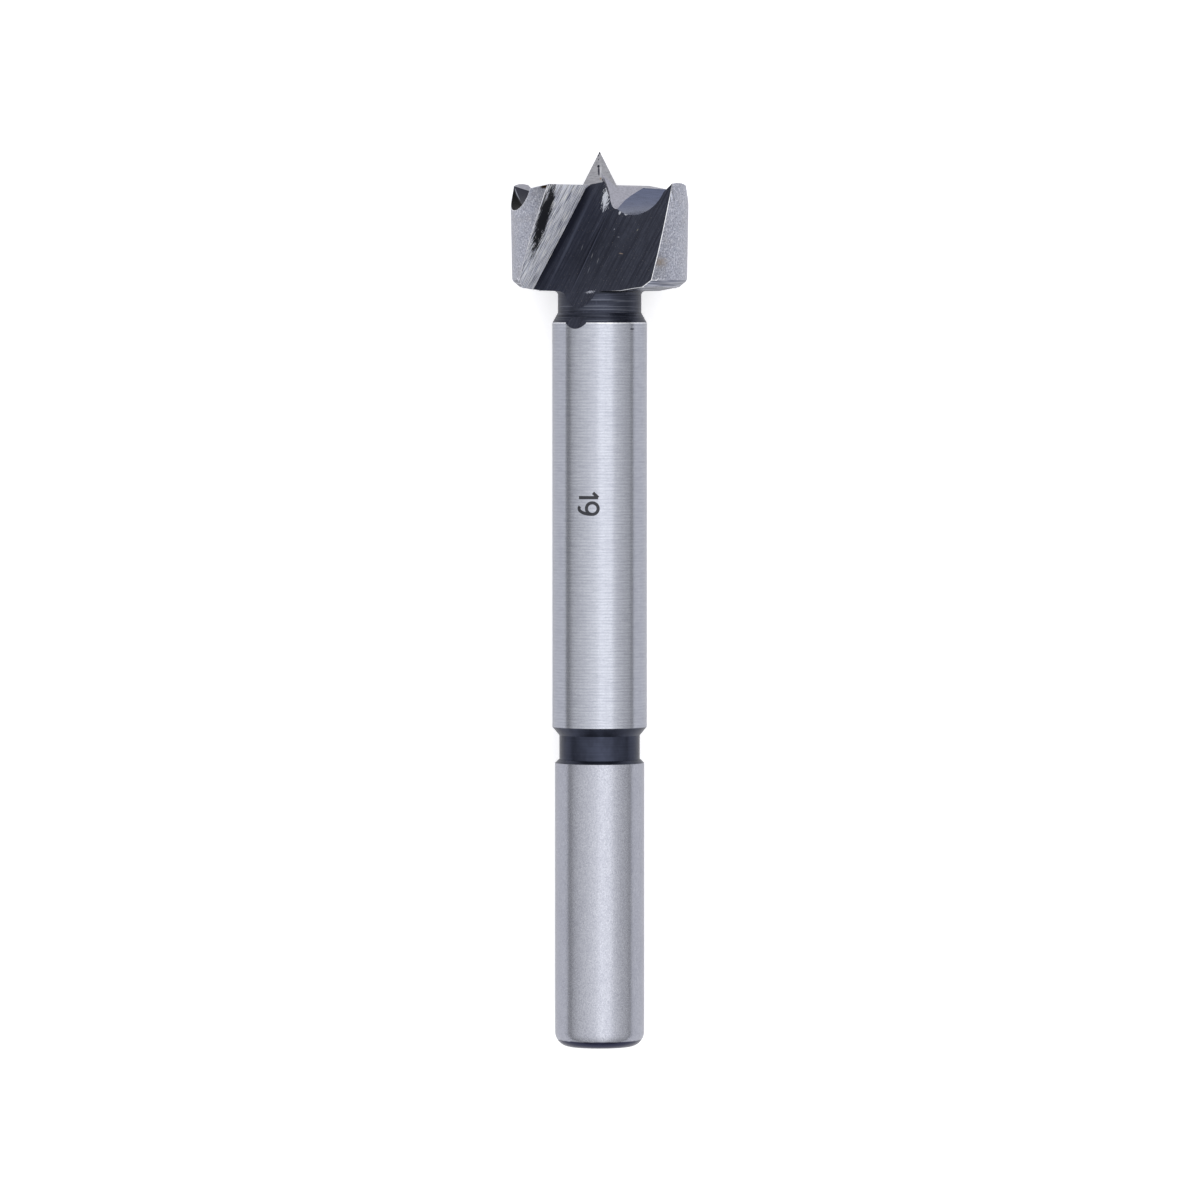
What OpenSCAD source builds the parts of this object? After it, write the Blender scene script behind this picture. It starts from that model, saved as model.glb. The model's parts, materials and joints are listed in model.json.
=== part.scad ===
// Forstner bit, turned and ground from one bar of tool steel.
// It lies as it comes to rest on a flat surface: on the two edges of its lower gullet
// and on the end of its shank, with its length along Y and its tip towards +Y.
// Every cut of the head is made twice, half a turn apart.

/* [Shank] */
// Diameter of the shank that the chuck grips
shank_d = 9.525; // [6:0.025:10]
// Length of that shank, up to the waist
shank_l = 30.7; // [20:0.1:60]
// Radius that rounds the free end of the shank
shank_end_r = 1.6; // [0.4:0.1:2.5]
// Chamfer at the shank's shoulder
shank_chamfer = 0.35; // [0.1:0.05:0.8]
// Diameter of the waist between shank and body
waist_d = 8.6; // [5:0.1:9]
// Length of the waist
waist_l = 2.6; // [1:0.1:8]

/* [Body] */
// Diameter of the body above the waist
body_d = 10.1; // [9.6:0.1:13]
// Length of the body, without its cones
body_l = 43.1; // [15:0.5:90]
// Length of the cone that leads from the waist to the body
lead_l = 0.9; // [0.3:0.1:2]
// Length of the cone that leads from the body down to the neck
shoulder_l = 1.1; // [0.3:0.1:2]
// Diameter of the neck under the head
neck_d = 8.9; // [6:0.1:10]
// Length of the neck
neck_l = 2.3; // [1:0.1:8]
// Fillet between the neck and the head
neck_fillet = 0.45; // [0.1:0.05:1]

/* [Head] */
// Diameter of the hole that the bit bores
head_d = 19.05; // [16:0.05:30]
// Height from the head's underside, at the neck, to its two lips
head_h = 11.3; // [9:0.1:16]
// Height by which the rim stands above the lips
rim_proud = 0.2; // [0.05:0.05:0.6]
// Angle by which the head narrows towards the shank
back_taper = 1.1; // [0:0.1:3]
// Width of the band where the flat underside turns up towards its corner
brim_w = 1.9; // [0.5:0.1:2.5]
// Height of that band
brim_h = 0.36; // [0.1:0.02:1]
// Width of the chamfer at the underside's outer corner
corner_w = 1.3; // [0.3:0.1:1.6]
// Height of that chamfer
corner_h = 1.1; // [0.3:0.1:2]

/* [Gullets] */
// Distance of each lip behind the centre line
lip_back = 1.02; // [0.4:0.02:2]
// Rake of the gullet's wall under the lip
rake = 24.4; // [5:0.2:35]
// Distance of the gullet's floor from the axis, at the lips
floor_gap = 0.83; // [0.5:0.01:2]
// Slope with which the floor runs out towards the shank
floor_slope = 15.4; // [8:0.2:20]
// Turn of the floor away from square to the lip
floor_turn = 2.4; // [0:0.2:8]
// Clearance ground behind each lip
relief = 9.1; // [4:0.1:15]

/* [Troughs] */
// Radius of the round trough between a lip's land and the rim
trough_r = 3.45; // [1.5:0.05:4.5]
// Distance of the trough's axis behind the centre line
trough_back = 5.34; // [4.5:0.02:7]
// Height of the trough's axis above the lips
trough_up = 0.26; // [0:0.02:1.5]
// Turn of the trough away from the lip's direction
trough_turn = 9.5; // [0:0.5:20]
// Rise of the trough towards the rim
trough_rise = 3.4; // [0:0.2:10]
// Bevel inside the top of the rim
rim_bevel = 45; // [20:1:60]

/* [Centre point] */
// Height of the tip above the lips
point_h = 3.58; // [2:0.02:5]
// Lean from the axis of the two faces that look along the lips
face_lean = 12.6; // [8:0.1:25]
// Lean from the axis of the two faces between them
flank_lean = 14.7; // [8:0.1:25]
// Turn from the first pair of faces to the second
flank_turn = 58; // [45:1:90]

/* [Heels] */
// Height above the lips at which the heel's steep side would reach the centre line
heel_top = 2.04; // [1:0.02:4]
// Depth below the lips at which the heel's flat side would reach the centre line
heel_drop = 1.59; // [0.2:0.01:2]
// Steepness of the heel beside the centre point
heel_steep = 57; // [45:1:75]
// Fall of the heel's flat side, away from its lip
heel_fall = 5.4; // [0:0.1:30]
// Rise of the heel along its lip
heel_rise = 20; // [5:0.5:30]
// Radius between the heel's two sides
heel_r = 0.8; // [0.3:0.1:2.5]

/* [Hidden] */
$fn = 96;

shank_r = shank_d / 2;
waist_r = waist_d / 2;
body_r = body_d / 2;
neck_r = neck_d / 2;
head_r = head_d / 2;

// Heights along the axis, from the free end of the shank
waist_z = shank_l;
lead_z = waist_z + waist_l;
body_z = lead_z + lead_l;
shoulder_z = body_z + body_l;
neck_z = shoulder_z + shoulder_l;
head_z = neck_z + neck_l;
lip_z = head_z + head_h;
rim_z = lip_z + rim_proud;
tip_z = lip_z + point_h;

// Every cut runs this far past the steel
overrun = 2 * head_d;

// Flats that make up the round of the heel's grind
heel_steps = 6;

// Radius of the head at a height
function head_r_at(z) = head_r - (rim_z - z) * tan(back_taper);

// Outer edge of the flat underside, and the lowest place of the head's side
brim_r = head_r - corner_w - brim_w;
corner_z = head_z + brim_h;
side_z = corner_z + corner_h;
side_r = head_r_at(side_z);

// Outer corner of a lip, in plan
lip_out = [sqrt(pow(head_r_at(lip_z), 2) - pow(lip_back, 2)), -lip_back];

// Lowest point of the gullet's other edge on the head's side, in plan
run_gap = floor_gap + (lip_z - side_z) * tan(floor_slope);
run_az = acos(run_gap / side_r) - floor_turn;
run_out = side_r * [cos(run_az), sin(run_az)];

// The support plane touches those two places on the lower gullet, and the shank's end.
// In plan it faces square to the chord between the places, but for the rest turn.
chord = run_out - lip_out;
facing = atan2(-chord[0], chord[1]);
reach = lip_out * [cos(facing), sin(facing)];
lip_side = lip_out * [-sin(facing), cos(facing)];
edge_slope = (lip_z - side_z) / norm(chord);
rest_slope = (reach - shank_r) / (lip_z - shank_end_r + lip_side * edge_slope);
rest_turn = atan(rest_slope * edge_slope);
rest_tilt = atan(rest_slope * cos(rest_turn));
rest_up = (shank_r - rest_slope * shank_end_r) * cos(rest_turn) * cos(rest_tilt);

// Middle of the bit's length once it lies down
rear_y = -(shank_r - shank_end_r) * sin(rest_tilt);
front_y = tip_z * cos(rest_tilt);
middle_y = (rear_y + front_y) / 2;

// Unit vector at an angle
function unit(angle) = [cos(angle), sin(angle)];

// Centre of the round of radius r in a corner whose sides leave it at the angles a and b
function round_centre(corner, a, b, r) = corner + r / sin((b - a) / 2) * unit((a + b) / 2);

// Area between such a corner and its round
module corner_piece(corner, a, b, r) {
    tangent_l = r / tan((b - a) / 2);
    centre = round_centre(corner, a, b, r);
    difference() {
        polygon([corner, corner + tangent_l * unit(a), centre, corner + tangent_l * unit(b)]);
        translate(centre)
            circle(r);
    }
}

// Half section of the turned blank: shank, waist, body, neck and head, with a nose that
// the centre point is ground from
module blank_section() {
    difference() {
        polygon([
            [0, 0],
            [shank_r, 0],
            [shank_r, waist_z - shank_chamfer],
            [shank_r - shank_chamfer, waist_z],
            [waist_r, waist_z],
            [waist_r, lead_z],
            [body_r, body_z],
            [body_r, shoulder_z],
            [neck_r, neck_z],
            [neck_r, head_z],
            [brim_r, head_z],
            [brim_r + brim_w, corner_z],
            [side_r, side_z],
            [head_r, rim_z],
            [point_h, rim_z],
            [point_h, tip_z],
            [0, tip_z]
        ]);
        corner_piece([shank_r, 0], 90, 180, shank_end_r);
    }
    corner_piece([neck_r, head_z], -90, 0, neck_fillet);
}

// Space in front of a plane that looks in direction az. At height z the plane stands out
// from the axis by the gap, and it leans back as it rises.
module beyond(z, az, gap, lean) {
    translate([0, 0, z])
        rotate([0, 0, az])
            translate([gap, 0, 0])
                rotate([0, -lean, 0])
                    translate([0, -overrun, -overrun])
                        cube([overrun, 2 * overrun, 2 * overrun]);
}

// Space on the lip's side of the trough's axis
module before_trough() {
    beyond(lip_z, 90 - trough_turn, -trough_back, 0);
}

// Gullet: its wall looks the way the bit turns, and its floor looks along the lip
module gullet() {
    intersection() {
        beyond(lip_z, 90, -lip_back, -rake);
        beyond(lip_z, -floor_turn, floor_gap, floor_slope);
        beyond(tip_z, 0, 0, face_lean);
    }
}

// Clearance behind a lip, ground up to the centre point's face
module land_relief() {
    intersection() {
        translate([0, -lip_back, lip_z])
            rotate([relief, 0, 0])
                translate([-overrun, -overrun, 0])
                    cube([2 * overrun, 2 * overrun, overrun]);
        beyond(tip_z, 0, 0, face_lean);
        before_trough();
    }
}

// Round trough behind the land, open at both ends
module trough() {
    rotate([0, 0, -trough_turn])
        translate([0, -trough_back, lip_z + trough_up])
            rotate([0, 90 - trough_rise, 0])
                cylinder(r = trough_r, h = 2 * overrun, center = true);
}

// Bevel inside the rim, behind the trough
module rim_grind() {
    translate([0, -head_r, rim_z])
        rotate([-rim_bevel, 0, 0])
            translate([-overrun, 0, 0])
                cube([2 * overrun, trough_r / 2, overrun]);
}

// Section of the heel's grind, square to it: steep beside the point, then nearly flat,
// with a round between the two
module heel_section() {
    foot_s = (heel_top + heel_drop) / (tan(heel_steep) - tan(heel_fall));
    foot = [foot_s, heel_top - foot_s * tan(heel_steep)];
    centre = round_centre(foot, -heel_fall, 180 - heel_steep, heel_r);
    sweep = heel_steep - heel_fall;
    polygon([
        foot + overrun * [-1, tan(heel_steep)],
        for (i = [0:heel_steps])
            centre + heel_r * unit(270 - heel_steep + sweep * i / heel_steps),
        foot + overrun * [1, -tan(heel_fall)],
        foot + overrun * [1, tan(heel_steep)]
    ]);
}

// Heel ground behind the centre point, rising along its lip
module heel() {
    intersection() {
        translate([0, 0, lip_z])
            rotate([0, -heel_rise, 0])
                rotate([90, 0, -90])
                    linear_extrude(2 * overrun, center = true)
                        heel_section();
        before_trough();
    }
}

// Four-sided centre point, standing on the web between the gullets
module centre_point() {
    foot_z = lip_z - heel_drop;
    difference() {
        translate([0, 0, foot_z])
            cylinder(r = neck_r, h = tip_z - foot_z);
        for (turn = [0, 180]) {
            beyond(tip_z, turn, 0, face_lean);
            beyond(tip_z, turn + flank_turn, 0, flank_lean);
        }
    }
}

// The bit standing on its shank, with one lip along +X
module upright_bit() {
    difference() {
        rotate_extrude()
            blank_section();
        for (turn = [0, 180])
            rotate([0, 0, turn]) {
                gullet();
                land_relief();
                trough();
                rim_grind();
                heel();
            }
    }
    centre_point();
}

// The bit lying down
module bit() {
    color([0.68, 0.68, 0.71])
        translate([0, -middle_y, rest_up])
            rotate([rest_tilt - 90, 0, 0])
                rotate([0, 0, rest_turn - 90 - facing])
                    upright_bit();
}

bit();
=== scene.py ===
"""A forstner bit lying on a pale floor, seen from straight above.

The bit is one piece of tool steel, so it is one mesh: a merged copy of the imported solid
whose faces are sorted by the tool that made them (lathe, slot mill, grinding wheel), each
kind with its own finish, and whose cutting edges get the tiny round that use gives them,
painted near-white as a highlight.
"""

import json
import logging
import math
from dataclasses import dataclass
from dataclasses import field
from enum import Enum

import bmesh
import bpy
import numpy as np
from mathutils import Matrix
from mathutils import Vector


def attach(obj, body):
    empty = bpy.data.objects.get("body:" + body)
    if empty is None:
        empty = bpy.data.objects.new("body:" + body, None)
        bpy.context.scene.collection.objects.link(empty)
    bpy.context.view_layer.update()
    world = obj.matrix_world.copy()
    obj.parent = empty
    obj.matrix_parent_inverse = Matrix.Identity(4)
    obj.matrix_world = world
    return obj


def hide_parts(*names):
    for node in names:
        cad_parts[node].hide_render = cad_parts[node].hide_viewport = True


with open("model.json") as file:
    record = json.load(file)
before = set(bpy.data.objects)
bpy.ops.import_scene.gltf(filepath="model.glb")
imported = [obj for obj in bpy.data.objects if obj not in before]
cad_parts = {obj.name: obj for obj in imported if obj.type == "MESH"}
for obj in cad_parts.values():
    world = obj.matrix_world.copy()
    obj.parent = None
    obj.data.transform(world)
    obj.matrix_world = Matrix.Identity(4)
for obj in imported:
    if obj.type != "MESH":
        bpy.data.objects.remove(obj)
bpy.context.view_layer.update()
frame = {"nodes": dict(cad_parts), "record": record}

CAD_NODE = "bit"
BODY = "root"
MM = 0.001
MICRON = 1e-6

log = logging.getLogger("forstner_bit")


def linear(hex_colour: str) -> tuple[float, float, float, float]:
    """Turns an sRGB hex colour into linear light.

    Args:
        hex_colour: Six hex digits after a number sign.

    Returns:
        Linear red, green and blue, and an alpha of 1.
    """
    shares = [int(hex_colour[i : i + 2], 16) / 255 for i in (1, 3, 5)]
    light = [s / 12.92 if s <= 0.04045 else ((s + 0.055) / 1.055) ** 2.4 for s in shares]
    return (*light, 1.0)


def add_node(
    tree: bpy.types.NodeTree,
    kind: str,
    values: dict | None = None,
    links: dict | None = None,
    **settings: object,
) -> bpy.types.Node:
    """Adds a node with its settings and links.

    Args:
        tree: The material's or the world's node tree.
        kind: The node's type.
        values: Constant values, by the input's name or number.
        links: Output sockets to link, by the input's name or number.
        settings: The node's own properties.

    Returns:
        The new node.
    """
    node = tree.nodes.new(kind)
    for name, value in settings.items():
        setattr(node, name, value)
    for key, value in (values or {}).items():
        node.inputs[key].default_value = value
    for key, socket in (links or {}).items():
        tree.links.new(socket, node.inputs[key])
    return node


@dataclass(frozen=True)
class BitSizes:
    """The bit's sizes in millimetres and degrees. Heights count from the shank's free end."""

    shank_d: float = 9.525
    waist_z: float = 30.7
    shank_chamfer: float = 0.35
    body_z: float = 34.2
    body_d: float = 10.1
    shoulder_z: float = 77.3
    head_z: float = 80.7
    head_d: float = 19.05
    lip_z: float = 92.0
    tip_z: float = 95.58
    corner_z: float = 81.06
    side_z: float = 82.16
    lip_back: float = 1.02
    rake: float = 24.4
    floor_gap: float = 0.83
    floor_slope: float = 15.4
    floor_turn: float = 2.4
    relief: float = 9.1
    trough_r: float = 3.45
    trough_back: float = 5.34
    trough_up: float = 0.26
    trough_turn: float = 9.5
    trough_rise: float = 3.4
    face_lean: float = 12.6
    flank_lean: float = 14.7
    flank_turn: float = 58.0
    heel_rise: float = 20.0
    spin: float = -118.643


def unit_vector(azimuth: float, elevation: float) -> np.ndarray:
    """Unit vector at an azimuth from +X and an elevation above the XY plane, in degrees."""
    a, e = math.radians(azimuth), math.radians(elevation)
    return np.array([math.cos(a) * math.cos(e), math.sin(a) * math.cos(e), math.sin(e)])


@dataclass(frozen=True)
class Plane:
    """A plane of the bit: the points p with normal . p = reach, in millimetres."""

    normal: np.ndarray
    reach: float

    @classmethod
    def beyond(cls, z: float, azimuth: float, gap: float, lean: float) -> "Plane":
        """Plane that looks in direction azimuth, stands gap from the axis at z and leans back.

        Its normal is n = (cos a cos l, sin a cos l, sin l), and its reach is n . (gap, a, z).
        """
        normal = unit_vector(azimuth, lean)
        foot = gap * unit_vector(azimuth, 0) + np.array([0, 0, z])
        return cls(normal, float(normal @ foot))

    def holds(self, points: np.ndarray, normals: np.ndarray) -> np.ndarray:
        """Says which faces lie in the plane, or in its copy half a turn round the axis.

        Args:
            points: The faces' centres, one a row.
            normals: Their unit normals.

        Returns:
            A truth value for each face.
        """
        found = np.zeros(len(points), bool)
        for turned in (np.array([1, 1, 1]), np.array([-1, -1, 1])):
            aligned = (normals * turned) @ self.normal > 0.9995
            near = np.abs((points * turned) @ self.normal - self.reach) < 0.04
            found |= aligned & near
        return found


@dataclass
class RestPose:
    """Where the bit's own frame lies in the row's frame: +Z along the bit, +X along a lip."""

    sizes: BitSizes
    axes: np.ndarray = field(init=False)
    origin: np.ndarray = field(init=False)

    def __post_init__(self) -> None:
        """Reads the axis from the mount on the shank's end, and turns the lips by the spin."""
        mounts = {m["name"]: m for m in frame["record"]["mounts"]}
        end = mounts["shank_end"]
        along = -np.array(end["axis"], float)
        tilt = math.degrees(math.atan2(along[2], along[1]))
        turn_x = np.array(Matrix.Rotation(math.radians(tilt - 90), 3, "X"))
        turn_z = np.array(Matrix.Rotation(math.radians(self.sizes.spin), 3, "Z"))
        self.axes = turn_x @ turn_z
        self.origin = np.array(end["pos_m"], float) / MM

    def to_bit(self, points: np.ndarray) -> np.ndarray:
        """Takes points in metres in the row's frame to millimetres in the bit's frame."""
        return (points / MM - self.origin) @ self.axes

    def turn_to_bit(self, vectors: np.ndarray) -> np.ndarray:
        """Turns vectors from the row's frame to the bit's frame."""
        return vectors @ self.axes

    def to_row(self, points: np.ndarray) -> np.ndarray:
        """Takes points in millimetres in the bit's frame to metres in the row's frame."""
        return (points @ self.axes.T + self.origin) * MM


class Lay(Enum):
    """The direction that a tool's marks run in, named for the surface that they are on."""

    TURNED = "turned"
    WALL = "wall"
    FLOOR = "floor"
    HEEL = "heel"
    TROUGH = "trough"
    NOTCH = "trough's rim side"
    POINT = "centre point"


@dataclass
class LayFrames:
    """Works out, for each lay, the frame that its marks run along: their Y axis follows them."""

    sizes: BitSizes
    pose: RestPose
    wall: Plane = field(init=False)
    floor: Plane = field(init=False)

    def __post_init__(self) -> None:
        """Sets the gullet's two planes."""
        s = self.sizes
        self.wall = Plane.beyond(s.lip_z, 90, -s.lip_back, -s.rake)
        self.floor = Plane.beyond(s.lip_z, -s.floor_turn, s.floor_gap, s.floor_slope)

    def frame_of(self, lay: Lay) -> tuple[np.ndarray, np.ndarray]:
        """Gives a lay's axes and origin in the bit's frame.

        The gullet's wall and floor share their slot's direction, d = wall x floor, and the
        origin where both meet at the height of the lips.

        Args:
            lay: The lay.

        Returns:
            Three unit row vectors, and the origin in millimetres.
        """
        s = self.sizes
        if lay is Lay.TURNED:
            return np.eye(3), np.zeros(3)
        lip = np.array([0, 0, s.lip_z])
        if lay is Lay.HEEL:
            return self.square_to(unit_vector(0, s.heel_rise), unit_vector(90, 0)), lip
        if lay is Lay.TROUGH:
            along = unit_vector(-s.trough_turn, s.trough_rise)
            return self.square_to(along, unit_vector(90 - s.trough_turn, 0)), lip
        if lay is Lay.NOTCH:
            return self.square_to(unit_vector(0, 90), unit_vector(-s.trough_turn, 0)), lip
        if lay is Lay.POINT:
            return self.square_to(unit_vector(0, 90), unit_vector(90, 0)), lip
        slot = np.cross(self.wall.normal, self.floor.normal)
        slot /= np.linalg.norm(slot)
        slot *= np.sign(slot[2])
        planes = np.array([self.wall.normal, self.floor.normal, [0, 0, 1]])
        corner = np.linalg.solve(planes, [self.wall.reach, self.floor.reach, s.lip_z])
        normal = self.wall.normal if lay is Lay.WALL else self.floor.normal
        across = np.cross(slot, normal)
        outward = across if lay is Lay.FLOOR else -across
        return self.square_to(slot, outward), corner

    @staticmethod
    def square_to(along: np.ndarray, across: np.ndarray) -> np.ndarray:
        """Three row vectors: across the marks, along them, and square to both."""
        return np.array([across, along, np.cross(across, along)])

    def mapping(self, lay: Lay) -> dict:
        """Gives the values of a Mapping node from Object coordinates to a lay's millimetres.

        With rows R and origin o in the row's frame, the node gives R p / MM - R o.
        """
        rows, corner = self.frame_of(lay)
        in_row = rows @ self.pose.axes.T
        origin = self.pose.to_row(corner[None])[0] / MM
        turn = Matrix(in_row.tolist()).to_euler("XYZ")
        return {"Scale": (1 / MM,) * 3, "Rotation": turn, "Location": tuple(-in_row @ origin)}


@dataclass(frozen=True)
class Grain:
    """One layer of a tool's marks: noise whose cells are stretched along the lay.

    Rings are even waves along the lay's third axis instead, one to a cell.
    """

    lay: Lay
    cell: tuple[float, float, float]
    colour: str
    strength: float
    low: float = 0.4
    high: float = 0.65
    depth: float = 0.0
    detail: float = 2.0
    seed: float = 0.0
    rings: bool = False


@dataclass(frozen=True)
class Patch:
    """An oval patch, with a torn edge where it is ragged, at a place on a lay.

    Lengths are in millimetres. The turn is in degrees, and level and reach bound the patch
    along the lay's third axis.
    """

    lay: Lay
    centre: tuple[float, float]
    half: tuple[float, float]
    turn: float
    colour: str
    raggedness: float = 0.0
    tear: tuple[float, float] = (0.1, 1.2)
    softness: float = 0.25
    level: float = 0.0
    reach: float = 1000.0
    roughness: float | None = None


@dataclass(frozen=True)
class Finish:
    """What a surface is made of, and the marks on it."""

    name: str
    colour: str
    metallic: float
    roughness: float
    grains: tuple[Grain, ...] = ()
    patches: tuple[Patch, ...] = ()
    end_black: float = 0.0


# Cylindrically ground tool steel: a light bluish grey whose fine rings smear the light
# lengthwise and leave the reflection of the lamps as a sharp band.
GROUND_BODY = Finish(
    name="tool_steel_cylindrically_ground",
    colour="#b9bcc5",
    metallic=1.0,
    roughness=0.2,
    grains=(
        Grain(Lay.TURNED, (6, 6, 0.33), "#8d90a0", 0.26, 0.1, 0.9, 0.1, 2.0, 0.0, True),
        Grain(Lay.TURNED, (1.5, 1.5, 0.14), "#858896", 0.3, 0.42, 0.7, 0.5, 1.0),
        Grain(Lay.TURNED, (0.16, 0.16, 0.13), "#7a7d89", 0.22, 0.45, 0.7, 0.5, 1.0, 2.0),
        Grain(Lay.TURNED, (0.5, 0.5, 14), "#a3a5b1", 0.3, 0.4, 0.7, 0.0, 2.0, 3.0),
    ),
    patches=(
        Patch(Lay.POINT, (4.79, -15.34), (0.12, 0.12), 0, "#5d5f6b", 0.6, (0.1, 0.1), 0.5, 1.6, 2.0),
    ),
)

# Centreless ground tool steel: the same grey, mottled, with softer highlights.
GROUND_SHANK = Finish(
    name="tool_steel_centreless_ground",
    colour="#b0b2bc",
    metallic=1.0,
    roughness=0.25,
    grains=(
        Grain(Lay.TURNED, (0.15, 0.15, 0.2), "#888a96", 0.5, 0.42, 0.68, 1.1, 2.0),
        Grain(Lay.TURNED, (1.3, 1.3, 2.2), "#9c9eaa", 0.3, 0.4, 0.65, 0.0, 2.0, 5.0),
        Grain(Lay.TURNED, (0.11, 0.11, 0.13), "#d9dbe2", 0.35, 0.5, 0.72, 0.0, 1.0, 9.0),
    ),
    end_black=0.8,
)

# Ground side of the head: plain light grey with a close, sandy mottle.
GROUND_SIDE = Finish(
    name="tool_steel_ground_rim",
    colour="#a9acb9",
    metallic=1.0,
    roughness=0.34,
    grains=(
        Grain(Lay.TURNED, (0.17, 0.17, 0.15), "#71737e", 0.75, 0.42, 0.66, 2.6, 2.0),
        Grain(Lay.TURNED, (0.16, 0.16, 0.2), "#e2e3ea", 0.65, 0.5, 0.68, 0.0, 1.0, 4.0),
        Grain(Lay.TURNED, (1.6, 1.6, 1.2), "#9c9790", 0.18, 0.5, 0.7, 0.0, 2.0, 8.0),
    ),
    patches=(
        Patch(Lay.POINT, (-1.6, -0.2), (0.7, 0.4), 0, "#2c2114", 0.6, (0.2, 0.2), 0.5, 9.35, 1.5),
        Patch(Lay.POINT, (8.88, -8.24), (0.5, 0.7), 0, "#97897a", 1.0, (0.3, 0.3), 1.2, 2.9, 2.0),
    ),
)

# Rake face, ground along the slot: the wheel's deep scratches scatter the light all ways, so
# it looks pale and nearly matt, with bluish lines. The wheel missed a hollow near the outer
# corner, which stayed black and has a torn edge.
GROUND_RAKE = Finish(
    name="tool_steel_rake_ground",
    colour="#e6e9f6",
    metallic=0.15,
    roughness=0.55,
    grains=(
        Grain(Lay.WALL, (0.13, 3.2, 0.6), "#454b68", 0.95, 0.44, 0.6, 4.0, 2.0),
        Grain(Lay.WALL, (0.1, 1.6, 0.6), "#ffffff", 0.85, 0.5, 0.62, 0.0, 1.0, 7.0),
    ),
    patches=(
        Patch(
            Lay.WALL, (5.75, -5.4), (1.3, 4.3), 25, "#131419", 2.6, (0.12, 1.3), 0.1, roughness=0.5
        ),
    ),
)

# Black oxide on the milled floor of the gullets: a deep blue-black with slanting cutter
# marks, a broad lighter lane, a few bright nicks, and a torn splash beside the point where
# the grinding wheel touched it.
BLACK_FLOOR = Finish(
    name="black_oxide_on_milled_steel",
    colour="#474a57",
    metallic=1.0,
    roughness=0.42,
    grains=(
        Grain(Lay.FLOOR, (0.2, 9, 1), "#31333e", 0.8, 0.4, 0.62, 1.6, 2.0),
        Grain(Lay.FLOOR, (0.5, 0.7, 1), "#383a45", 0.5, 0.4, 0.62, 0.0, 3.0, 2.0),
        Grain(Lay.FLOOR, (0.05, 2.5, 1), "#6c7080", 0.35, 0.6, 0.75, 0.0, 1.0, 6.0),
        Grain(Lay.FLOOR, (0.1, 0.2, 0.2), "#8e8a86", 0.5, 0.68, 0.74, 0.0, 1.0, 11.0),
    ),
    patches=(
        Patch(Lay.FLOOR, (0.1, -5.5), (0.9, 9.0), 0, "#292b36", softness=0.5),
        Patch(Lay.FLOOR, (1.33, -5.6), (0.27, 7.2), -2.3, "#5b5f6d", 0.3, (0.1, 3.0), 0.8),
        Patch(Lay.FLOOR, (4.13, -6.3), (0.07, 5.6), -3, "#262832", softness=0.6),
        Patch(Lay.FLOOR, (4.3, -6.3), (0.08, 5.6), -3, "#5d6172", softness=0.8),
        Patch(Lay.FLOOR, (3.55, -3.6), (0.07, 2.4), 0, "#5a5e6e", softness=0.8),
        Patch(Lay.FLOOR, (2.9, -0.5), (0.4, 1.15), -25, "#dfe2ea", 3.6, (0.08, 0.5), 0.2),
        Patch(Lay.FLOOR, (5.35, -1.1), (0.16, 0.22), 0, "#d5d8e0", 1.5, (0.08, 0.2), 0.3),
        Patch(Lay.FLOOR, (6.1, -0.95), (0.22, 0.16), 0, "#c5c8d2", 2.5, (0.08, 0.2), 0.3),
        Patch(Lay.FLOOR, (7.9, -4.9), (0.33, 0.08), -16, "#95867c", softness=0.5),
        Patch(Lay.FLOOR, (5.71, -2.92), (0.1, 0.1), 0, "#9b9eab", softness=0.6),
        Patch(Lay.FLOOR, (6.64, -3.46), (0.19, 0.07), -20, "#868995", softness=0.6),
        Patch(Lay.FLOOR, (8.39, -1.88), (0.07, 0.18), 10, "#85857c", softness=0.6),
        Patch(Lay.FLOOR, (3.1, -6.2), (0.06, 0.42), -12, "#85878d", softness=0.7),
        Patch(Lay.FLOOR, (4.74, -6.5), (0.06, 0.4), -12, "#94959b", softness=0.7),
        Patch(Lay.FLOOR, (5.69, -6.7), (0.06, 0.42), -10, "#8b8d93", softness=0.7),
        Patch(Lay.FLOOR, (5.2, -8.0), (0.05, 0.5), -12, "#7f828c", softness=0.7),
        Patch(Lay.FLOOR, (6.7, -10.0), (0.5, 0.12), -30, "#b4b7c3", 5.0, (0.1, 0.1), 0.3),
    ),
)

# Black oxide on the turned waist: smooth and blue-black, with a faint cloud.
BLACK_WAIST = Finish(
    name="black_oxide_on_smooth_steel",
    colour="#3c404f",
    metallic=1.0,
    roughness=0.28,
    grains=(
        Grain(Lay.TURNED, (1.2, 1.2, 2.0), "#2f323e", 0.6, 0.42, 0.6, 0.0, 2.0, 6.0),
        Grain(Lay.TURNED, (8, 8, 0.13), "#2d303b", 0.3, 0.42, 0.62, 0.5, 1.0),
    ),
)

# Black oxide on the turned neck: blue-black with the lathe's fine grooves, a lighter mottle in
# places, and patchy painted highlights in thin rings.
BLACK_NECK = Finish(
    name="black_oxide_on_turned_steel",
    colour="#3d404c",
    metallic=1.0,
    roughness=0.36,
    grains=(
        Grain(Lay.TURNED, (8, 8, 0.1), "#262831", 0.6, 0.42, 0.6, 1.2, 1.0),
        # Painted highlights: pale patches in thin rings round the neck.
        Grain(Lay.TURNED, (6, 6, 0.09), "#8a8e9b", 0.4, 0.56, 0.7, 0.0, 1.0, 3.0),
        Grain(Lay.TURNED, (0.35, 0.35, 0.25), "#565a69", 0.3, 0.55, 0.75, 0.0, 2.0, 4.0),
    ),
)
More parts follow.
